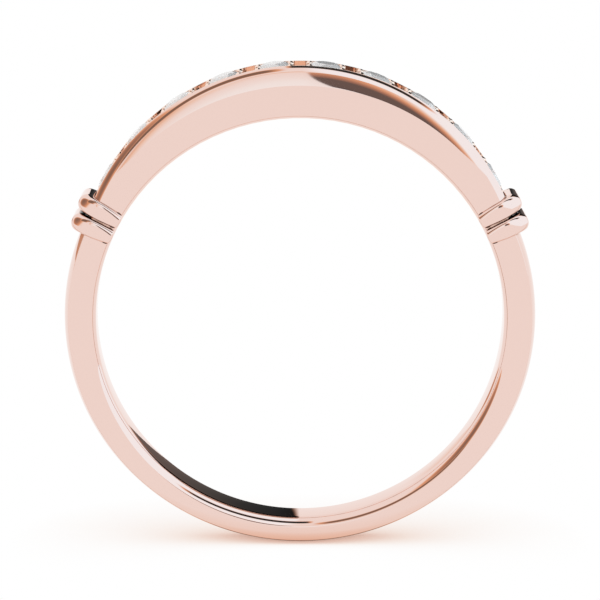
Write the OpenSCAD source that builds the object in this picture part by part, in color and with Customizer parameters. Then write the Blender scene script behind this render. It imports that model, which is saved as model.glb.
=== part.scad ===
// Channel and bead set wedding band: ten round brilliants in a tapered head,
// with two half-round wraps on each shoulder where the head meets the shank.
// Origin at the centre of the finger hole. The finger runs along Y, and the stones are on top, towards +Z.

/* [Band] */
// Inside diameter of the ring
finger_d = 17.35; // [16.9:0.05:17.8]
// Width of the band along the finger
band_w = 1.85; // [1.8:0.01:2.0]
// Thickness of the shank at its sides
side_t = 1.37; // [1.3:0.01:1.5]
// Thickness of the shank at the bottom
bottom_t = 1.21; // [1.1:0.01:1.25]
// How far the middle of the shank's outside stands above its edges
dome_rise = 0.22; // [0.15:0.01:0.3]

/* [Finger hole] */
// Width of the rounded inner edge, measured along the finger
edge_w = 0.35; // [0.25:0.01:0.4]
// Depth of the rounded inner edge at the top of the ring, measured along the radius
edge_h = 0.17; // [0.1:0.01:0.2]
// Depth of the rounded inner edge at the bottom of the ring
bottom_edge_h = 0.42; // [0.38:0.01:0.45]

/* [Head] */
// Thickness of the head at the middle of the row of stones
head_t = 2.25; // [2.15:0.01:2.4]
// How far the centre of the head's outer circle lies above the finger hole's centre
head_shift = 1.45; // [1.4:0.01:1.5]
// Clear width of the channel between the two rails
channel_w = 1.48; // [1.46:0.01:1.5]
// Depth of the channel's floor below the crest of the rails
floor_depth = 0.3; // [0.27:0.01:0.35]

/* [Stones] */
// Number of stones in the row
stone_count = 10; // [8:1:10]
// Diameter of each stone
stone_d = 1.55; // [1.5:0.01:1.58]
// Angle from one stone to the next, about the centre of the head's outer circle
stone_pitch = 13.33; // [13.25:0.01:13.4]
// Depth of the stones' girdles below the crest of the rails
stone_depth = 0.19; // [0.17:0.01:0.21]
// Diameter of the open hole under each stone
light_hole_d = 0.72; // [0.5:0.01:0.8]
// Diameter of the beads that hold the stones
bead_d = 0.3; // [0.28:0.01:0.32]

/* [Wraps] */
// Angle from the top of the ring to the middle of each upper wrap
upper_wrap_angle = 60.55; // [60.5:0.01:60.6]
// Angle from the top of the ring to the middle of each lower wrap
lower_wrap_angle = 65.3; // [65.25:0.01:65.4]
// Angle that each wrap covers
wrap_span = 4.6; // [4.5:0.01:4.64]
// Height of the upper wraps above the finger hole's wall
upper_wrap_t = 1.985; // [1.935:0.005:2.05]
// Height of the lower wraps above the finger hole's wall
lower_wrap_t = 1.89; // [1.84:0.01:1.95]
// How far the wraps stand out from the band's front and back faces
wrap_proud = 0.15; // [0.1:0.01:0.2]

/* [Hidden] */
$fn = 128;
finger_r = finger_d / 2;
half_w = band_w / 2;
bore_half = half_w - edge_w;
side_r = finger_r + side_t;
bottom_r = finger_r + bottom_t;
upper_wrap_r = finger_r + upper_wrap_t;
lower_wrap_r = finger_r + lower_wrap_t;

// The shank's outside is two domed discs' common part: one round the finger's centre, one a little higher.
bottom_shift = 0.385;
bottom_disc_r = bottom_r + bottom_shift;

// Towards the bottom of the ring the inner edge deepens: its rim there runs round a centre this much lower.
edge_shift = 0.2;

// The shank and the head are soldered together in the groove between the wraps.
joint_angle = (upper_wrap_angle + lower_wrap_angle) / 2;

// The crest circle carries the rails' crests and the row of stones.
crest_r = finger_r + head_t - head_shift;
channel_half = channel_w / 2;
channel_end = stone_pitch * stone_count / 2;
floor_r = crest_r - floor_depth;
girdle_r = crest_r - stone_depth;

// Each rail leans in above a shoulder circle, in an arc from the flat face to the crest.
shoulder_shift = 0.6;
shoulder_r = finger_r + 0.815;
shoulder_rise = 0.8;
shoulder_lean = 0.125;
shoulder_arc_r = 5;
crest_half = 0.77;
crest_bevel = 0.09;
crest_drop = 0.17;

// Proportions of a round brilliant, as parts of its diameter, and of its facets' corners.
table_part = 0.57;
crown_part = 0.15;
girdle_part = 0.03;
pavilion_part = 0.43;
star_part = 0.78;
lower_part = 0.4;
stone_r = stone_d / 2;
stone_clearance = 0.004;

// The hole under each stone runs from inside the finger hole into the stone's seat.
light_hole_low = finger_r - head_shift - 0.5;
light_hole_high = girdle_r - 0.3;

// Each stone has four beads, at this angle from the line of the row and this far from the stone's axis.
bead_angle = 36;
bead_reach = stone_r + 0.28 * bead_d;
bead_r = bead_d / 2;

// A corner radius for the wraps, and a length that runs clear of everything in the ring.
wrap_corner = 0.42;
reach = 14;

stone_names = [for (i = [1:stone_count]) str("diamond_", i)];
bead_names = [for (i = [1:stone_count]) str("beads_", i)];

function stone_angle(i) = (i - (stone_count + 1) / 2) * stone_pitch;

// Radius of a circle through two points that lie dx and dy apart, with its centre level with the first.
function arc_radius(dx, dy) = (dx * dx + dy * dy) / (2 * dx);

// Turns a shape drawn round the Z axis so that it runs along the finger.
module along_finger() {
    rotate([90, 0, 0]) children();
}

// Places a shape on the crest circle, with its own +Z pointing away from the circle's centre.
module on_crest_circle(angle, radius) {
    translate([0, 0, head_shift]) rotate([0, angle, 0]) translate([0, 0, radius]) children();
}

// The part of the ring within half_angle of the top.
module top_sector(half_angle) {
    side = reach * sin(half_angle);
    up = reach * cos(half_angle);
    along_finger() linear_extrude(reach, center = true)
        polygon([[0, 0], [side, up], [side, reach], [-side, reach], [-side, up]]);
}

// A disc whose rim is domed, with its highest point in the middle of its width.
module domed_disc(radius) {
    dome_r = arc_radius(dome_rise, half_w);
    edge_r = radius - dome_rise;
    along_finger() rotate_extrude() {
        translate([0, -half_w]) square([edge_r, band_w]);
        intersection() {
            translate([edge_r - 0.1, -half_w]) square([1, band_w]);
            translate([radius - dome_r, 0]) circle(dome_r);
        }
    }
}

// Cuts a rounded edge out of both faces, from start_r outwards, with an arc whose centre lies at [centre_r, centre_y].
module rounded_edge(start_r, depth, centre_r, centre_y, arc_r) {
    along_finger() for (side = [0, 1]) mirror([0, 0, side]) rotate_extrude() difference() {
        translate([start_r - 0.1, bore_half]) square([depth + 0.1, edge_w + 0.1]);
        translate([centre_r, centre_y]) circle(arc_r);
    }
}

// The finger hole: a straight bore that opens in a rounded edge at each face, a deeper one towards the bottom.
module finger_hole() {
    top_arc_r = arc_radius(edge_h, edge_w);
    bottom_arc_r = arc_radius(edge_w, bottom_edge_h);
    bottom_start_r = finger_r - edge_shift;
    along_finger() cylinder(r = finger_r, h = reach, center = true);
    rounded_edge(finger_r, edge_h, finger_r + top_arc_r, bore_half, top_arc_r);
    translate([0, 0, -edge_shift])
        rounded_edge(
            bottom_start_r, bottom_edge_h, bottom_start_r + bottom_edge_h, half_w - bottom_arc_r, bottom_arc_r
        );
}

// The outer surface of the shank, filled solid to its centre.
module shank_body() {
    intersection() {
        domed_disc(side_r);
        translate([0, 0, bottom_shift]) domed_disc(bottom_disc_r);
    }
}

// The outer surface of the head, filled solid to its centre: flat faces, leaning shoulders and a bevelled crest.
module head_body() {
    chord = norm([shoulder_rise, shoulder_lean]);
    lean_angle = atan(shoulder_lean / shoulder_rise);
    arc_offset = sqrt(shoulder_arc_r * shoulder_arc_r - chord * chord / 4);
    intersection() {
        translate([0, 0, shoulder_shift]) along_finger() rotate_extrude() {
            translate([0, -half_w]) square([shoulder_r, band_w]);
            intersection() {
                translate([shoulder_r - 0.1, -half_w]) square([shoulder_rise + 0.3, band_w]);
                for (side = [0, 1]) mirror([0, side])
                    translate([shoulder_r + shoulder_rise / 2, half_w - shoulder_lean / 2])
                        rotate(-lean_angle) translate([0, -arc_offset]) circle(shoulder_arc_r);
            }
        }
        translate([0, 0, head_shift]) along_finger() rotate_extrude() polygon([
            [0, -half_w], [crest_r - 2 * crest_drop, -half_w], [crest_r - crest_drop, -crest_half - crest_bevel],
            [crest_r, -crest_half], [crest_r, crest_half],
            [crest_r - crest_drop, crest_half + crest_bevel], [crest_r - 2 * crest_drop, half_w], [0, half_w]
        ]);
    }
}

// The open channel above the floor, between the rails.
module channel() {
    intersection() {
        translate([0, 0, head_shift]) along_finger() difference() {
            cylinder(r = reach, h = channel_w, center = true);
            cylinder(r = floor_r, h = reach, center = true);
        }
        translate([0, 0, head_shift]) top_sector(channel_end);
    }
}

// The space that a stone fills: crown, girdle and pavilion as cones.
module stone_space() {
    radius = stone_r + stone_clearance;
    half_girdle = girdle_part * stone_d / 2;
    rotate_extrude() polygon([
        [0, -half_girdle - pavilion_part * stone_d], [radius, -half_girdle], [radius, half_girdle],
        [table_part * stone_r + stone_clearance, half_girdle + crown_part * stone_d],
        [0, half_girdle + crown_part * stone_d]
    ]);
}

module all_stone_spaces() {
    for (i = [1:stone_count]) on_crest_circle(stone_angle(i), girdle_r) stone_space();
}

// A ring of points at one height; the first one lies at the angle start.
function ring(count, radius, height, start) =
    [for (k = [0:count - 1]) let (a = start + k * 360 / count) [radius * cos(a), radius * sin(a), height]];

// A round brilliant with its table up: 33 crown facets, 16 girdle facets and 24 pavilion facets.
module brilliant() {
    half_girdle = girdle_part * stone_d / 2;
    table_r = table_part * stone_r;
    table_z = half_girdle + crown_part * stone_d;
    culet_z = -half_girdle - pavilion_part * stone_d;
    star_r = star_part * stone_r;
    star_z = half_girdle + (stone_r - star_r * cos(22.5)) * (table_z - half_girdle) / (stone_r - table_r);
    lower_r = lower_part * stone_r;
    lower_z = -half_girdle + (stone_r - lower_r * cos(22.5)) * (culet_z + half_girdle) / stone_r;
    points = concat(
        ring(8, table_r, table_z, 0), ring(8, star_r, star_z, 22.5),
        ring(16, stone_r, half_girdle, 0), ring(16, stone_r, -half_girdle, 0),
        ring(8, lower_r, lower_z, 22.5), [[0, 0, culet_z]]
    );
    star = 8;
    upper = 16;
    lower = 32;
    keel = 48;
    culet = 56;
    faces = concat(
        [[7, 6, 5, 4, 3, 2, 1, 0]],
        [for (k = [0:7]) [k, (k + 1) % 8, star + k]],
        [for (k = [0:7]) [k, star + k, upper + 2 * k, star + (k + 7) % 8]],
        [for (k = [0:7]) [star + k, upper + 2 * k + 1, upper + 2 * k]],
        [for (k = [0:7]) [star + k, upper + (2 * k + 2) % 16, upper + 2 * k + 1]],
        [for (k = [0:15]) [upper + k, upper + (k + 1) % 16, lower + (k + 1) % 16, lower + k]],
        [for (k = [0:7]) [lower + 2 * k, lower + 2 * k + 1, keel + k]],
        [for (k = [0:7]) [lower + 2 * k + 1, lower + (2 * k + 2) % 16, keel + k]],
        [for (k = [0:7]) [lower + 2 * k, keel + k, culet, keel + (k + 7) % 8]]
    );
    polyhedron(points, faces);
}

module diamond(i) {
    color("white") on_crest_circle(stone_angle(i), girdle_r) brilliant();
}

// The four beads that hold stone i, standing on the channel's floor and cut to the stone.
module beads(i) {
    color("#E0A890") for (along = [-1, 1], across = [-1, 1]) difference() {
        on_crest_circle(stone_angle(i), crest_r - bead_r)
            translate([along * bead_reach * cos(bead_angle), across * bead_reach * sin(bead_angle), 0]) {
                sphere(bead_r);
                translate([0, 0, -1]) cylinder(r = bead_r, h = 1);
            }
        translate([0, 0, head_shift]) along_finger() cylinder(r = floor_r, h = reach, center = true);
        on_crest_circle(stone_angle(i), girdle_r) stone_space();
    }
}

module shank() {
    color("#E8BFAE") difference() {
        shank_body();
        finger_hole();
        top_sector(joint_angle);
    }
}

// The middle of the head: the channel's floor with the stones' seats, and the solid ends under the upper wraps.
module gallery() {
    color("#E8BFAE") difference() {
        intersection() {
            head_body();
            top_sector(joint_angle);
            cube([2 * reach, channel_w, 2 * reach], center = true);
        }
        finger_hole();
        channel();
        all_stone_spaces();
        for (i = [1:stone_count])
            on_crest_circle(stone_angle(i), light_hole_low)
                cylinder(d = light_hole_d, h = light_hole_high - light_hole_low);
    }
}

// One side wall of the channel; side is -1 for the front and 1 for the back.
module rail(side) {
    color("#E8BFAE") difference() {
        intersection() {
            head_body();
            top_sector(joint_angle);
            translate([0, side * (channel_half + reach / 2), 0]) cube([2 * reach, reach, 2 * reach], center = true);
        }
        finger_hole();
        all_stone_spaces();
    }
}

// A half-round wrap over the front, outside and back of the band, round the solid given as children.
module wrap(angle, outer_r) {
    half_span = wrap_span / 2;
    lobe_r = outer_r * sin(half_span) / (1 + sin(half_span));
    lobe_z = outer_r - lobe_r;
    overall_w = band_w + 2 * wrap_proud;
    bulge_r = arc_radius(wrap_proud, lobe_r);
    color("#E8BFAE") difference() {
        rotate([0, angle, 0]) intersection() {
            along_finger() linear_extrude(reach, center = true) {
                polygon([
                    [0, 0], [lobe_z * tan(half_span), lobe_z], [-lobe_z * tan(half_span), lobe_z]
                ]);
                translate([0, lobe_z]) circle(lobe_r);
            }
            linear_extrude(reach) {
                square([2 * lobe_r, band_w], center = true);
                for (side = [-1, 1]) translate([0, side * (overall_w / 2 - bulge_r)]) circle(bulge_r);
            }
            rotate([90, 0, 90]) linear_extrude(reach, center = true) {
                translate([-overall_w / 2, 0]) square([overall_w, outer_r - wrap_corner]);
                for (side = [-1, 1])
                    translate([side * (overall_w / 2 - wrap_corner), outer_r - wrap_corner]) circle(wrap_corner);
                translate([wrap_corner - overall_w / 2, 0]) square([overall_w - 2 * wrap_corner, outer_r]);
            }
        }
        along_finger() cylinder(r = finger_r, h = reach, center = true);
        children();
    }
}

shank();
gallery();
rail(-1);  // front_rail
rail(1);  // back_rail
wrap(-upper_wrap_angle, upper_wrap_r) head_body();  // wrap_left_upper
wrap(-lower_wrap_angle, lower_wrap_r) shank_body();  // wrap_left_lower
wrap(upper_wrap_angle, upper_wrap_r) head_body();  // wrap_right_upper
wrap(lower_wrap_angle, lower_wrap_r) shank_body();  // wrap_right_lower
for (i = [1:stone_count]) diamond(i);
for (i = [1:stone_count]) beads(i);
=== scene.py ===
"""The looks of the wedding band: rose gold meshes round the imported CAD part, diamonds, studio and camera.

Lengths are in millimetres and angles in degrees until a mesh is made. Angles run from the top of the ring
towards +X, and a cross-section is a list of (y, radius) pairs, with the radius taken from the finger's axis.
"""

import math

import bpy
import numpy as np
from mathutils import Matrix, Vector

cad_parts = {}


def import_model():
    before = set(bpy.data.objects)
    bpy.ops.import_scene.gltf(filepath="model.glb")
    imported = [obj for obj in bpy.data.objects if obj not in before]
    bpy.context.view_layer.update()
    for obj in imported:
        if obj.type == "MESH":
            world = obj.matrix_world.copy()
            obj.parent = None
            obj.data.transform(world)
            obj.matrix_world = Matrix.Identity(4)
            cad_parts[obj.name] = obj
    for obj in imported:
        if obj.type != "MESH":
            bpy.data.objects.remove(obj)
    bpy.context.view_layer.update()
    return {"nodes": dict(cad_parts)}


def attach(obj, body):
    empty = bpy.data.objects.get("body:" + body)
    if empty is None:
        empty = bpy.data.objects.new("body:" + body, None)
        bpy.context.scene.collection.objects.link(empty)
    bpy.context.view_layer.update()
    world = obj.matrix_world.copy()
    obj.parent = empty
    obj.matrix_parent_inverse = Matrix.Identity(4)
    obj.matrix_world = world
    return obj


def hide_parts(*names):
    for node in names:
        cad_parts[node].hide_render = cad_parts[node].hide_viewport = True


MM = 0.001

# The ring's own sizes, as in the CAD source
FINGER_R = 8.675
HALF_W = 0.925
BORE_HALF = 0.575
EDGE_H = 0.17
BOTTOM_EDGE_H = 0.42
EDGE_SHIFT = 0.2
SIDE_R = 10.045
BOTTOM_R = 9.885
DOME_RISE = 0.22
JOINT_ANGLE = 62.925
HEAD_SHIFT = 1.45
CREST_R = 9.475
FLOOR_DEPTH = 0.3
CHANNEL_HALF = 0.74
SHOULDER_SHIFT = 0.6
SHOULDER_R = 9.49
STONE_COUNT = 10
STONE_PITCH = 13.33
STONE_R = 0.775
WRAP_PROUD = 0.15
BEAD_ANGLE = 36.0
BEAD_R = 0.15
BEAD_REACH = STONE_R + 0.56 * BEAD_R

# Finishing that the CAD leaves out. The shank's faces ease in by FACE_DROP over their last FACE_EASE.
SOFT_EDGE = 0.03
FILLET_STEPS = 5
FACE_EASE = 0.3
FACE_DROP = 0.025
FACE_STEPS = 7
DOME_POINTS = 25

# The angle from the top past which the shank thins
THINS_FROM = 100

# The inner edge's shape, and how softly its even depth passes into the deeper one, in mm squared
EDGE_POWER = 1.25
EDGE_POINTS = 17
EDGE_BLEND = 0.002

# The shoulder's tilt at the flat face, its growth per mm and per mm squared, and the crest's arc
SHOULDER_TILT = (5.4, 13.5, -9.0)
SHOULDER_STEPS = 14
CREST_DROP = 0.28
CREST_TURNS = (10.0, 30.0)
CREST_STEPS = 10

# Each wrap's angle and outer radius, its ends and corners, and how square its section is along them
WRAPS = {"upper": (60.5, 10.66), "lower": (65.35, 10.565)}
WRAP_SPAN = 4.4
WRAP_END_R = 0.1
WRAP_END_Y = 0.7
WRAP_FOOT_GAP = 0.02
WRAP_CORNER_IN = 0.42
WRAP_CORNER_UP = 1.1
WRAP_LEG_DEPTH = 0.24
WRAP_FOOT_POWER = 2.4
WRAP_LEG_POWER = 4.5
WRAP_LOBE_POWER = 2.2
WRAP_POINTS = 48
END_POINTS = 8
LEG_STEPS = 12
CORNER_STEPS = 24

# How far the beads' tops lean over the stone, and where their domes end
BEAD_LEAN = 0.03
BEAD_DOME_END = 84
BEAD_DOME_POINTS = 9
BEAD_POINTS = 24

# The angle between sections of the shank and the rails
SWEEP_STEP = 0.75

# The polish, the size of the grooves that get painted shade, and the reach of the ring's painted rose shadow
# on the table
POLISH_SCALE = 900.0
POLISH_ROUGHNESS = (0.02, 0.05)
GROOVE_DEPTH = 0.3
SHADOW_TINT_REACH = 6

# Colours of the metal, of its lighter copy that paints a highlight and of the painted shade at its grooves'
# rims, and of the cards and flags that it mirrors
ROSE = (0.85, 0.64, 0.575)
HIGHLIGHT_ROSE = (0.93, 0.74, 0.64)
GROOVE_SHADE_BROWN = (0.6, 0.32, 0.22)
WHITE = (1.0, 1.0, 1.0)
HOT = (1.06, 1.24, 1.35)
CREAM = (0.97, 0.80, 0.67)
WARM = (0.84, 0.47, 0.28)
BROWN = (0.47, 0.26, 0.18)
DARK = (0.16, 0.13, 0.12)
DUSK = (0.078, 0.078, 0.076)
NIGHT = (0.035, 0.039, 0.040)
COAL = (0.023, 0.027, 0.029)
BLACK = (0.01, 0.01, 0.01)

CAMERA_DISTANCE = 123.87
CAMERA_ELEVATION = 12.9
CAMERA_TILT = 12.564
CAMERA_LENS = 174
FLOOR_HALF = 600


def circle_r(rise, half_chord):
    """The radius of an arc that rises by rise over half its chord."""
    return (rise * rise + half_chord * half_chord) / (2 * rise)


def off_centre(angle, shift, radius):
    """The distance from the finger's axis to a circle whose centre lies shift above it."""
    a = math.radians(angle)
    return shift * math.cos(a) + math.sqrt(radius**2 - (shift * math.sin(a)) ** 2)


def crest_at(angle):
    return off_centre(angle, HEAD_SHIFT, CREST_R)


def outside_at(angle):
    """The shank's outer radius at the middle of its width, thinning a little from the sides to the bottom."""
    from_top = abs((angle + 180) % 360 - 180)
    share = min(1.0, max(0.0, (from_top - THINS_FROM) / (180 - THINS_FROM)))
    return SIDE_R - (SIDE_R - BOTTOM_R) * (0.5 - 0.5 * math.cos(math.pi * share))


def edge_depth(angle):
    """The depth of the rounded inner edge: even over the top of the ring, and deeper towards the bottom."""
    deep = BOTTOM_EDGE_H - EDGE_SHIFT * (1 + math.cos(math.radians(angle)))
    return 0.5 * (EDGE_H + deep + math.sqrt((EDGE_H - deep) ** 2 + EDGE_BLEND))


def inner_edge(angle):
    """The rounded inner edge's (y, radius) points from the bore to the flat face, flattest in the middle."""
    points = []
    for turn in np.radians(np.linspace(0, 90, EDGE_POINTS)):
        across, up = math.sin(turn) ** EDGE_POWER, 1 - math.cos(turn) ** EDGE_POWER
        points.append((BORE_HALF + (HALF_W - BORE_HALF) * across, FINGER_R + edge_depth(angle) * up))
    return points


def edge_at(angle, y):
    """The radius of the rounded inner edge at y."""
    sine = ((y - BORE_HALF) / (HALF_W - BORE_HALF)) ** (1 / EDGE_POWER)
    return FINGER_R + edge_depth(angle) * (1 - math.sqrt(1 - sine * sine) ** EDGE_POWER)


def rounded_corner(before, corner, after, radius):
    """An arc in place of a corner, with a point on each straight side just before and after it."""
    p = np.array(corner, float)
    back = np.array(before, float) - p
    ahead = np.array(after, float) - p
    room = min(np.linalg.norm(back), np.linalg.norm(ahead))
    back /= np.linalg.norm(back)
    ahead /= np.linalg.norm(ahead)
    half = 0.5 * math.acos(max(-1.0, min(1.0, float(back @ ahead))))
    reach = min(radius / math.tan(half), 0.45 * room)
    middle = back + ahead
    centre = p + middle / np.linalg.norm(middle) * (reach * math.tan(half) / math.sin(half))
    start = p + back * reach - centre
    end = p + ahead * reach - centre
    turn = math.atan2(start[0] * end[1] - start[1] * end[0], float(start @ end))
    arc = []
    for a in np.linspace(0, turn, FILLET_STEPS + 1):
        c, s = math.cos(a), math.sin(a)
        arc.append(centre + np.array([c * start[0] - s * start[1], s * start[0] + c * start[1]]))
    return [p + back * reach * 1.5, *arc, p + ahead * reach * 1.5]


def soften(corners, radii):
    """Rounds corners of a closed outline. radii gives the radius for each corner number that is rounded."""
    out = []
    for i, corner in enumerate(corners):
        if i in radii:
            after = corners[(i + 1) % len(corners)]
            out += [tuple(p) for p in rounded_corner(corners[i - 1], corner, after, radii[i])]
        else:
            out.append(corner)
    return out


def round_the_finger(angle, y, radius):
    """A point in metres."""
    a = math.radians(angle)
    return (radius * math.sin(a) * MM, y * MM, radius * math.cos(a) * MM)


def make_piece(name, points, faces, material, node, sharp=40):
    """A smooth-shaded mesh that rides on the ring and stands for a CAD node."""
    mesh = bpy.data.meshes.new(name)
    mesh.from_pydata(points, [], faces)
    mesh.validate()
    mesh.shade_smooth()
    mesh.set_sharp_from_angle(angle=math.radians(sharp))
    mesh.materials.append(material)
    piece = bpy.data.objects.new(name, mesh)
    bpy.context.scene.collection.objects.link(piece)
    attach(piece, "root")
    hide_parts(node)
    return piece


def loft(sections):
    """Points and faces of a solid through closed sections, with a flat cap at each end."""
    points = [p for section in sections for p in section]
    n = len(sections[0])
    faces = []
    for i in range(len(sections) - 1):
        for k in range(n):
            a, b = i * n + k, i * n + (k + 1) % n
            faces.append((a, b, b + n, a + n))
    faces.append(tuple(range(n - 1, -1, -1)))
    last = (len(sections) - 1) * n
    faces.append(tuple(range(last, last + n)))
    return points, faces


def swept(profile_at, start, end):
    """A solid swept round the finger from one angle to another."""
    count = max(2, int(abs(end - start) / SWEEP_STEP) + 1)
    angles = np.linspace(start, end, count)
    return loft([[round_the_finger(a, y, r) for y, r in profile_at(a)] for a in angles])


def shank_profile(angle):
    """The shank's cross-section: domed outside, faces eased in towards the rim, and a round-edged bore."""
    dome_r = circle_r(DOME_RISE, HALF_W)
    dome_centre = outside_at(angle) - dome_r
    rim_y = HALF_W - FACE_DROP
    across = np.linspace(rim_y, -rim_y, DOME_POINTS)
    outside = [(y, dome_centre + math.sqrt(dome_r**2 - y**2)) for y in across]
    rim = dome_centre + math.sqrt(dome_r**2 - HALF_W**2)
    steps = np.linspace(0, 1, FACE_STEPS + 1)[:-1]
    back_face = [(HALF_W - FACE_DROP * k * k, rim - FACE_EASE * (1 - k)) for k in steps]
    back_edge = inner_edge(angle) + back_face
    front_edge = [(-y, r) for y, r in reversed(back_edge)]
    return soften(outside + front_edge + back_edge, {0: SOFT_EDGE, len(outside) - 1: SOFT_EDGE})


def shoulder_y(height):
    """How far the shoulder stands from the middle plane at a height above the flat face."""
    lean = sum(tilt * height ** (k + 1) / (k + 1) for k, tilt in enumerate(SHOULDER_TILT))
    return HALF_W - math.radians(lean)


def rail_profile(angle):
    """A rail's cross-section at y > 0: inner edge, flat face, leaning shoulder and rounded crest."""
    crest = crest_at(angle)
    face_top = off_centre(angle, SHOULDER_SHIFT, SHOULDER_R)
    inner = [(CHANNEL_HALF, edge_at(angle, CHANNEL_HALF))]
    inner += [point for point in inner_edge(angle) if point[0] > CHANNEL_HALF]
    heights = np.linspace(0, crest - CREST_DROP - face_top, SHOULDER_STEPS)
    shoulder = [(shoulder_y(h), face_top + h) for h in heights]
    turns = np.radians(np.linspace(*CREST_TURNS, CREST_STEPS))
    up = np.cumsum(np.cos(turns)) / np.cos(turns).sum()
    across = np.cumsum(np.sin(turns)) / np.sin(turns).sum()
    foot_y = shoulder[-1][0]
    top = [(foot_y - a * (foot_y - CHANNEL_HALF), crest + (u - 1) * CREST_DROP) for a, u in zip(across, up)]
    foot = len(inner) + len(shoulder) - 1
    return soften(inner + shoulder + top, {foot: SOFT_EDGE, foot + len(top): SOFT_EDGE / 3})


def wrap_outline(outer_r):
    """The line along a wrap's ridge, from the front end round to the back end.

    Each step is (y, radius, outward y, outward radius, share of the leg, share of the corner).
    """
    reach = HALF_W + WRAP_PROUD
    foot = FINGER_R + WRAP_FOOT_GAP
    leg_start = foot + WRAP_END_R
    leg_end = outer_r - WRAP_CORNER_UP
    half = [(-WRAP_END_Y, foot, 0.0, -1.0, 0.0, 0.0)]
    for a in np.linspace(0, math.pi / 2, END_POINTS):
        s, c = math.sin(a), math.cos(a)
        half.append((-reach + WRAP_END_R * (1 - s), foot + WRAP_END_R * (1 - c), -s, -c, 0.0, 0.0))
    for share in np.linspace(0, 1, LEG_STEPS + 1)[1:]:
        half.append((-reach, leg_start + (leg_end - leg_start) * share, -1.0, 0.0, share, 0.0))
    for share in np.linspace(0, 1, CORNER_STEPS + 1)[1:]:
        s, c = math.sin(share * math.pi / 2), math.cos(share * math.pi / 2)
        slope = math.hypot(c / WRAP_CORNER_IN, s / WRAP_CORNER_UP)
        ny, nr = -c / WRAP_CORNER_IN / slope, s / WRAP_CORNER_UP / slope
        half.append((-reach + WRAP_CORNER_IN * (1 - c), leg_end + WRAP_CORNER_UP * s, ny, nr, 1.0, share))
    back = [(-y, r, -ny, nr, leg, corner) for y, r, ny, nr, leg, corner in reversed(half)]
    return half + back


def squared_circle(turn, power):
    """A point on a circle that is squared off a little more with each step of power above 2."""
    c, s = math.cos(turn), math.sin(turn)
    return math.copysign(abs(c) ** (2 / power), c), math.copysign(abs(s) ** (2 / power), s)


def wrap(name, side, level, material):
    """One half-round wrap over the front, outside and back of the band: flat legs and full, round corners."""
    angle, outer_r = WRAPS[level]
    half_span = math.radians(WRAP_SPAN / 2)
    lobe_r = outer_r * math.sin(half_span) / (1 + math.sin(half_span))
    sections = []
    for y, r, ny, nr, leg, corner in wrap_outline(outer_r):
        ease = corner * corner * (3 - 2 * corner)
        depth = WRAP_LEG_DEPTH + (lobe_r - WRAP_LEG_DEPTH) * ease
        power = WRAP_FOOT_POWER + (WRAP_LEG_POWER - WRAP_FOOT_POWER) * leg
        power += (WRAP_LOBE_POWER - power) * ease
        axis_y, axis_r = y - depth * ny, r - depth * nr
        half_width = min(lobe_r, axis_r * math.tan(half_span))
        section = []
        for k in range(WRAP_POINTS):
            out, along = squared_circle(2 * math.pi * k / WRAP_POINTS, power)
            local_r = axis_r + depth * out * nr
            turn = math.degrees(math.atan2(half_width * along, local_r))
            radius = math.hypot(half_width * along, local_r)
            section.append(round_the_finger(side * (angle + turn), axis_y + depth * out * ny, radius))
        sections.append(section)
    points, faces = loft(sections)
    return make_piece(name + "_wire", points, faces, material, name)


def bead(number, row, side):
    """One bead of a stone: a round post on the channel's floor with a domed top that leans over the stone."""
    turn = math.radians((number - (STONE_COUNT + 1) / 2) * STONE_PITCH)
    away = Vector((math.sin(turn), 0, math.cos(turn)))
    along = Vector((math.cos(turn), 0, -math.sin(turn)))
    bead_angle = math.radians(BEAD_ANGLE)
    dome_turns = np.radians(np.linspace(0, BEAD_DOME_END, BEAD_DOME_POINTS))
    outline = [(BEAD_R, -FLOOR_DEPTH + BEAD_R)]
    outline += [(BEAD_R * math.cos(t), BEAD_R * math.sin(t)) for t in dome_turns]
    sections = []
    for radius, height in outline:
        reach = BEAD_REACH - BEAD_LEAN * max(0.0, height / BEAD_R) ** 2
        foot_along, foot_y = row * reach * math.cos(bead_angle), side * reach * math.sin(bead_angle)
        base = Vector((0, 0, HEAD_SHIFT)) + away * (CREST_R - BEAD_R + height)
        section = []
        for k in range(BEAD_POINTS):
            t = 2 * math.pi * k / BEAD_POINTS
            p = base + along * (foot_along + radius * math.cos(t))
            section.append((p.x * MM, (foot_y + radius * math.sin(t)) * MM, p.z * MM))
        sections.append(section)
    return loft(sections)


def prongs(number, material):
    """The four cut beads that hold one stone, as one piece."""
    points, faces = [], []
    for row in (-1, 1):
        for side in (-1, 1):
            bead_points, bead_faces = bead(number, row, side)
            faces += [tuple(len(points) + v for v in face) for face in bead_faces]
            points += bead_points
    node = f"beads_{number}"
    return make_piece(node + "_prongs", points, faces, material, node, sharp=60)


def colour_ramp(tree, stops):
    """A colour ramp node with (place, colour) stops from 0 to 1."""
    node = tree.nodes.new("ShaderNodeValToRGB")
    elements = node.color_ramp.elements
    while len(elements) < len(stops):
        elements.new(0.5)
    for element, (place, colour) in zip(elements, stops):
        element.position = place
        element.color = (*colour, 1.0)
    return node


def principled(name, **values):
    """A material with one Principled shader and its constants set."""
    material = bpy.data.materials.new(name)
    material.use_nodes = True
    shader = material.node_tree.nodes["Principled BSDF"]
    for key, value in values.items():
        shader.inputs[key.replace("_", " ")].default_value = value
    return material, shader


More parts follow.
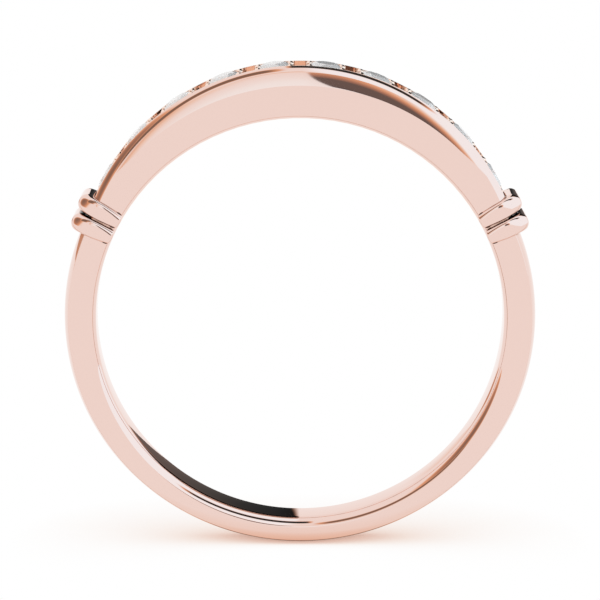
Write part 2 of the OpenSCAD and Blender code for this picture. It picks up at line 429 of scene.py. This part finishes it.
def polished_gold(name, colour):
    """High-polish gold with faint polishing marks in its roughness."""
    material, shader = principled(name, Metallic=1.0, Base_Color=(*colour, 1.0))
    nodes, links = material.node_tree.nodes, material.node_tree.links
    place = nodes.new("ShaderNodeTexCoord")
    marks = nodes.new("ShaderNodeTexNoise")
    marks.inputs["Scale"].default_value = POLISH_SCALE
    marks.inputs["Detail"].default_value = 4.0
    links.new(place.outputs["Object"], marks.inputs["Vector"])
    spread = nodes.new("ShaderNodeMapRange")
    spread.inputs["To Min"].default_value = POLISH_ROUGHNESS[0]
    spread.inputs["To Max"].default_value = POLISH_ROUGHNESS[1]
    links.new(marks.outputs["Fac"], spread.inputs["Value"])
    links.new(spread.outputs["Result"], shader.inputs["Roughness"])
    return material


def paint_groove_shade(material, colour):
    """Paints shade into a gold from ambient occlusion: black in narrow grooves, such as between two wraps,
    and brown at their rims.
    """
    tree = material.node_tree
    open_air = tree.nodes.new("ShaderNodeAmbientOcclusion")
    open_air.samples = 16
    open_air.inputs["Distance"].default_value = GROOVE_DEPTH * MM
    # Painted shade: the less open air a point has, the more the gold turns brown, then black
    shade = colour_ramp(tree, [(0.0, BLACK), (0.5, BLACK), (0.6, GROOVE_SHADE_BROWN), (0.72, colour)])
    tree.links.new(open_air.outputs["AO"], shade.inputs["Fac"])
    tree.links.new(shade.outputs["Color"], tree.nodes["Principled BSDF"].inputs["Base Color"])


def diamond_material():
    """Diamond with its own refraction, a little milky and with a faint painted glow from emission, so that
    the small stones stay bright.
    """
    clear = (1.0, 1.0, 1.0, 1.0)
    # The faint emission paints a glow into the stones
    material, _ = principled(
        "diamond_cut", Base_Color=clear, Roughness=0.0, IOR=2.42, Transmission_Weight=0.3,
        Emission_Color=clear, Emission_Strength=0.03
    )
    return material


class Sky:
    """Builds the studio as colours by direction.

    azimuth is 0 towards the camera, +90 to the right and 180 behind. behind is the angle from straight behind
    the ring, and round_axis turns round the finger's axis from the top to the right.
    """

    def __init__(self, tree, colour):
        self.tree = tree
        place = tree.nodes.new("ShaderNodeTexCoord")
        split = tree.nodes.new("ShaderNodeSeparateXYZ")
        tree.links.new(place.outputs["Generated"], split.inputs[0])
        self.x, y, z = split.outputs
        self.azimuth = self.degrees("ARCTAN2", self.x, self.calc("MULTIPLY", y, -1.0))
        self.elevation = self.degrees("ARCSINE", z)
        self.behind = self.degrees("ARCCOSINE", y)
        self.round_axis = self.degrees("ARCTAN2", self.x, z)
        base = tree.nodes.new("ShaderNodeRGB")
        base.outputs[0].default_value = (*colour, 1.0)
        self.colour = base.outputs[0]

    def calc(self, operation, *values):
        node = self.tree.nodes.new("ShaderNodeMath")
        node.operation = operation
        for socket, value in zip(node.inputs, values):
            if isinstance(value, (int, float)):
                socket.default_value = value
            else:
                self.tree.links.new(value, socket)
        return node.outputs[0]

    def degrees(self, operation, *values):
        return self.calc("MULTIPLY", self.calc(operation, *values), 180 / math.pi)

    def distance(self, a, b):
        return self.calc("SQRT", self.calc("ADD", self.calc("POWER", a, 2.0), self.calc("POWER", b, 2.0)))

    def edge(self, value, start, end):
        """0 up to start and 1 from end on, eased in between. With end below start it falls instead."""
        node = self.tree.nodes.new("ShaderNodeMapRange")
        node.interpolation_type = "SMOOTHSTEP"
        node.inputs["From Min"].default_value = start
        node.inputs["From Max"].default_value = end
        self.tree.links.new(value, node.inputs["Value"])
        return node.outputs["Result"]

    def band(self, value, start, full, falling, end):
        """0 up to start, 1 from full to falling, and 0 again from end on."""
        return self.both(self.edge(value, start, full), self.edge(value, end, falling))

    def both(self, *masks):
        total = masks[0]
        for mask in masks[1:]:
            total = self.calc("MULTIPLY", total, mask)
        return total

    def colours(self, value, start, end, stops):
        """Colours along a value, as (place, colour) stops between start and end."""
        share = self.tree.nodes.new("ShaderNodeMapRange")
        share.inputs["From Min"].default_value = start
        share.inputs["From Max"].default_value = end
        self.tree.links.new(value, share.inputs["Value"])
        node = colour_ramp(self.tree, [((place - start) / (end - start), colour) for place, colour in stops])
        self.tree.links.new(share.outputs["Result"], node.inputs["Fac"])
        return node.outputs["Color"]

    def paint(self, mask, colour):
        """Lays a colour over what is there so far, where the mask is 1."""
        node = self.tree.nodes.new("ShaderNodeMix")
        node.data_type = "RGBA"
        node.clamp_factor = True
        self.tree.links.new(mask, node.inputs["Factor"])
        self.tree.links.new(self.colour, node.inputs[6])
        if isinstance(colour, tuple):
            node.inputs[7].default_value = (*colour, 1.0)
        else:
            self.tree.links.new(colour, node.inputs[7])
        self.colour = node.outputs[2]


def paint_soft_box(sky):
    """A large soft box on the right."""
    sky.paint(sky.both(sky.band(sky.azimuth, 0, 4, 105, 125), sky.edge(sky.elevation, -6, -2)), HOT)


def paint_brown_patch(sky):
    """A fuzzy brown oval on the left."""
    side = sky.calc("DIVIDE", sky.calc("ADD", sky.azimuth, 56), 32)
    up = sky.calc("DIVIDE", sky.calc("SUBTRACT", sky.elevation, 17), 21)
    off = sky.distance(side, up)
    stops = [(0, (0.26, 0.17, 0.13)), (0.35, (0.34, 0.21, 0.15)), (0.6, BROWN), (0.85, WARM), (1.0, CREAM)]
    sky.paint(sky.edge(off, 1.15, 0.85), sky.colours(off, 0, 1.2, stops))


def paint_dark_arcs(sky):
    """In front and above, two dark arcs with warm rims: a hoop on the left and a card right of the middle."""
    hoop = sky.both(sky.band(sky.behind, 135, 146, 152, 163), sky.band(sky.round_axis, -80, -66, -16, -2))
    card = sky.both(sky.band(sky.behind, 122, 128, 139, 142), sky.band(sky.round_axis, -6, -1, 36, 50))
    for arc, colour in ((hoop, (0.25, 0.17, 0.13)), (card, NIGHT)):
        sky.paint(sky.edge(arc, 0.05, 0.4), WARM)
        sky.paint(sky.edge(arc, 0.3, 0.8), colour)


def paint_front(sky):
    """Round the camera's direction, a bright disc on the left half and a dark flag on the right half."""
    az, el = sky.azimuth, sky.elevation
    from_centre = sky.distance(az, el)
    disc = sky.both(sky.edge(from_centre, 15.6, 14.2), sky.edge(az, 3, 0))
    stops = [(0, (1.05, 1.2, 1.27)), (7, (1.03, 1.15, 1.2)), (11.5, WHITE), (13.5, CREAM), (15, WARM)]
    sky.paint(disc, sky.colours(from_centre, 0, 16, stops))
    slant = sky.calc("ADD", az, sky.calc("MULTIPLY", el, 0.18))
    right = sky.both(sky.edge(slant, 2.8, 3.1), sky.edge(az, -0.4, 0.2))
    flag = sky.both(right, sky.edge(el, -3.8, -3.2), sky.edge(from_centre, 14.4, 14.0))
    stops = [(0, (0.1, 0.09, 0.09)), (7, DARK), (10, DARK), (11.2, BROWN), (12.4, WARM), (13.3, CREAM)]
    sky.paint(flag, sky.colours(from_centre, 0, 16, stops + [(14.2, HOT)]))


def paint_flag_behind(sky):
    """Behind and above, a black flag right of the middle, which fades to brown further round the axis."""
    az, el, behind = sky.azimuth, sky.elevation, sky.behind
    spread = sky.calc("SUBTRACT", 1.0, sky.calc("MULTIPLY", sky.edge(behind, 48, 13), 0.4))
    fade = sky.calc("MULTIPLY", sky.round_axis, spread)
    rise = sky.calc("ADD", el, sky.calc("MULTIPLY", az, 0.63))
    above = sky.calc("MAXIMUM", sky.edge(rise, 98.5, 101.5), sky.edge(el, 45, 55))
    sooner = sky.calc("ADD", 1.0, sky.calc("MULTIPLY", sky.band(behind, 15, 35, 45, 60), 0.25))
    end = sky.edge(sky.calc("MULTIPLY", sky.round_axis, sooner), 105, 103)
    flag = sky.both(sky.edge(sky.x, 0.0, 0.02), above, sky.edge(fade, 96, 94), end)
    core = sky.both(flag, sky.edge(behind, 97, 88))
    stops = [(0, BLACK), (8, COAL), (18, NIGHT), (31, DUSK), (55, DARK), (66, BROWN), (78, WARM)]
    sky.paint(sky.both(flag, sky.edge(behind, 104, 92)), WARM)
    sky.paint(core, sky.colours(fade, 0, 90, stops))
    sky.paint(sky.both(core, sky.edge(behind, 52, 66), sky.edge(fade, 92, 80)), BLACK)


def paint_card_behind(sky):
    """Behind on the left, a small warm card near the horizon."""
    card = sky.both(sky.band(sky.azimuth, -168, -150, -118, -108), sky.band(sky.elevation, -9, -2, 8, 14))
    sky.paint(card, sky.colours(card, 0, 1, [(0, WARM), (0.7, WARM), (1, (0.62, 0.35, 0.23))]))


def studio():
    """Soft light cards and dark flags around the ring. The camera itself sees plain white."""
    world = bpy.data.worlds.new("studio")
    bpy.context.scene.world = world
    world.use_nodes = True
    tree = world.node_tree
    tree.nodes.clear()
    sky = Sky(tree, WHITE)
    paint_soft_box(sky)
    paint_brown_patch(sky)
    paint_dark_arcs(sky)
    paint_front(sky)
    paint_flag_behind(sky)
    paint_card_behind(sky)
    rays = tree.nodes.new("ShaderNodeLightPath")
    sky.paint(rays.outputs["Is Camera Ray"], WHITE)
    light = tree.nodes.new("ShaderNodeBackground")
    tree.links.new(sky.colour, light.inputs["Color"])
    out = tree.nodes.new("ShaderNodeOutputWorld")
    tree.links.new(light.outputs[0], out.inputs["Surface"])


def table_shadow_seen(tree):
    """White, with a painted rose shadow close in front of the ring and a painted dark contact shadow where it
    touches.
    """
    near = tree.nodes.new("ShaderNodeAmbientOcclusion")
    near.samples = 12
    near.inputs["Distance"].default_value = SHADOW_TINT_REACH * MM
    lean = tree.nodes.new("ShaderNodeCombineXYZ")
    lean.inputs["Y"].default_value = -0.6
    lean.inputs["Z"].default_value = 0.8
    tree.links.new(lean.outputs[0], near.inputs["Normal"])
    # Painted shadow: dark at the contact, rose close to the ring, and white further off
    stops = [(0.08, (0.1, 0.07, 0.06)), (0.24, (0.72, 0.45, 0.36)), (0.55, (0.9, 0.77, 0.7)), (0.95, WHITE)]
    seen = colour_ramp(tree, stops)
    tree.links.new(near.outputs["AO"], seen.inputs["Fac"])
    return seen.outputs["Color"]


def table_shadow_mirrored(tree):
    """What the ring mirrors: a painted shadow, dark under the band, then rose, and white from a few
    millimetres on.
    """
    place = tree.nodes.new("ShaderNodeTexCoord")
    split = tree.nodes.new("ShaderNodeSeparateXYZ")
    tree.links.new(place.outputs["Object"], split.inputs[0])
    away = tree.nodes.new("ShaderNodeMath")
    away.operation = "ABSOLUTE"
    tree.links.new(split.outputs["Y"], away.inputs[0])
    far = tree.nodes.new("ShaderNodeMapRange")
    far.inputs["From Min"].default_value = 0.5 * MM
    far.inputs["From Max"].default_value = 10 * MM
    tree.links.new(away.outputs[0], far.inputs["Value"])
    # Painted shadow seen in the ring's reflections: dark, then rose, then white
    shadow_stops = [(0.0, (0.3, 0.2, 0.15)), (0.03, (0.72, 0.42, 0.3)), (0.1, (0.93, 0.72, 0.6))]
    mirrored = colour_ramp(tree, shadow_stops + [(0.25, (0.98, 0.92, 0.88)), (0.6, WHITE)])
    tree.links.new(far.outputs["Result"], mirrored.inputs["Fac"])
    return mirrored.outputs["Color"]


def table_material():
    """A white table with a painted rose shadow beside the ring, and a warmer painted shadow where the ring
    mirrors it.
    """
    material = bpy.data.materials.new("white_table")
    material.use_nodes = True
    tree = material.node_tree
    tree.nodes.clear()
    rays = tree.nodes.new("ShaderNodeLightPath")
    choice = tree.nodes.new("ShaderNodeMix")
    choice.data_type = "RGBA"
    tree.links.new(rays.outputs["Is Camera Ray"], choice.inputs["Factor"])
    tree.links.new(table_shadow_mirrored(tree), choice.inputs[6])
    tree.links.new(table_shadow_seen(tree), choice.inputs[7])
    glow = tree.nodes.new("ShaderNodeEmission")
    out = tree.nodes.new("ShaderNodeOutputMaterial")
    tree.links.new(choice.outputs[2], glow.inputs["Color"])
    tree.links.new(glow.outputs[0], out.inputs["Surface"])
    return material


def make_floor():
    """The table's top, which touches the bottom of the ring."""
    half = FLOOR_HALF * MM
    height = -BOTTOM_R * MM
    mesh = bpy.data.meshes.new("floor")
    corners = [(-half, -half, height), (half, -half, height), (half, half, height), (-half, half, height)]
    mesh.from_pydata(corners, [], [(0, 1, 2, 3)])
    mesh.materials.append(table_material())
    floor = bpy.data.objects.new("floor", mesh)
    bpy.context.scene.collection.objects.link(floor)


def make_camera():
    """A long lens in front of the ring, a little above it."""
    data = bpy.data.cameras.new("camera")
    data.lens = CAMERA_LENS
    data.sensor_width = 36
    data.clip_start = 0.001
    data.clip_end = 10
    camera = bpy.data.objects.new("camera", data)
    elevation = math.radians(CAMERA_ELEVATION)
    camera.location = Vector((0, -math.cos(elevation), math.sin(elevation))) * CAMERA_DISTANCE * MM
    camera.rotation_euler = (math.radians(90 - CAMERA_TILT), 0, 0)
    bpy.context.scene.collection.objects.link(camera)
    bpy.context.scene.camera = camera


def make_shank(gold):
    points, faces = swept(shank_profile, JOINT_ANGLE, 360 - JOINT_ANGLE)
    make_piece("shank_body", points, faces, gold, "shank")


def make_rail(name, side, gold, highlight_gold):
    """One rail, at y < 0 for side -1. Its wall inside the channel takes the lighter copy of the gold, a
    painted highlight.
    """
    points, faces = swept(rail_profile, -JOINT_ANGLE, JOINT_ANGLE)
    points = [(x, side * y, z) for x, y, z in points]
    if side > 0:
        faces = [tuple(reversed(face)) for face in faces]
    rail = make_piece(name + "_body", points, faces, gold, name)
    # The channel wall gets the lighter copy of the gold, a painted highlight
    rail.data.materials.append(highlight_gold)
    wall_y = (CHANNEL_HALF + 0.01) * MM
    for face in rail.data.polygons:
        face.material_index = int(abs(face.center.y) < wall_y)


def main():
    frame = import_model()
    bpy.context.scene.view_settings.view_transform = "Standard"
    gold = polished_gold("polished_rose_gold", ROSE)
    # Painted shade in the gold's narrow grooves
    paint_groove_shade(gold, ROSE)
    # A lighter copy of the gold, a painted highlight for the channel walls, the beads and the gallery
    highlight_gold = polished_gold("highlight_rose_gold", HIGHLIGHT_ROSE)
    diamond = diamond_material()
    make_shank(gold)
    make_rail("front_rail", -1, gold, highlight_gold)
    make_rail("back_rail", 1, gold, highlight_gold)
    for side_name, side in (("left", -1), ("right", 1)):
        for level in WRAPS:
            wrap(f"wrap_{side_name}_{level}", side, level, gold)
    for number in range(1, STONE_COUNT + 1):
        prongs(number, highlight_gold)
        frame["nodes"][f"diamond_{number}"].data.materials[0] = diamond
    frame["nodes"]["gallery"].data.materials[0] = highlight_gold
    studio()
    make_floor()
    make_camera()


main()
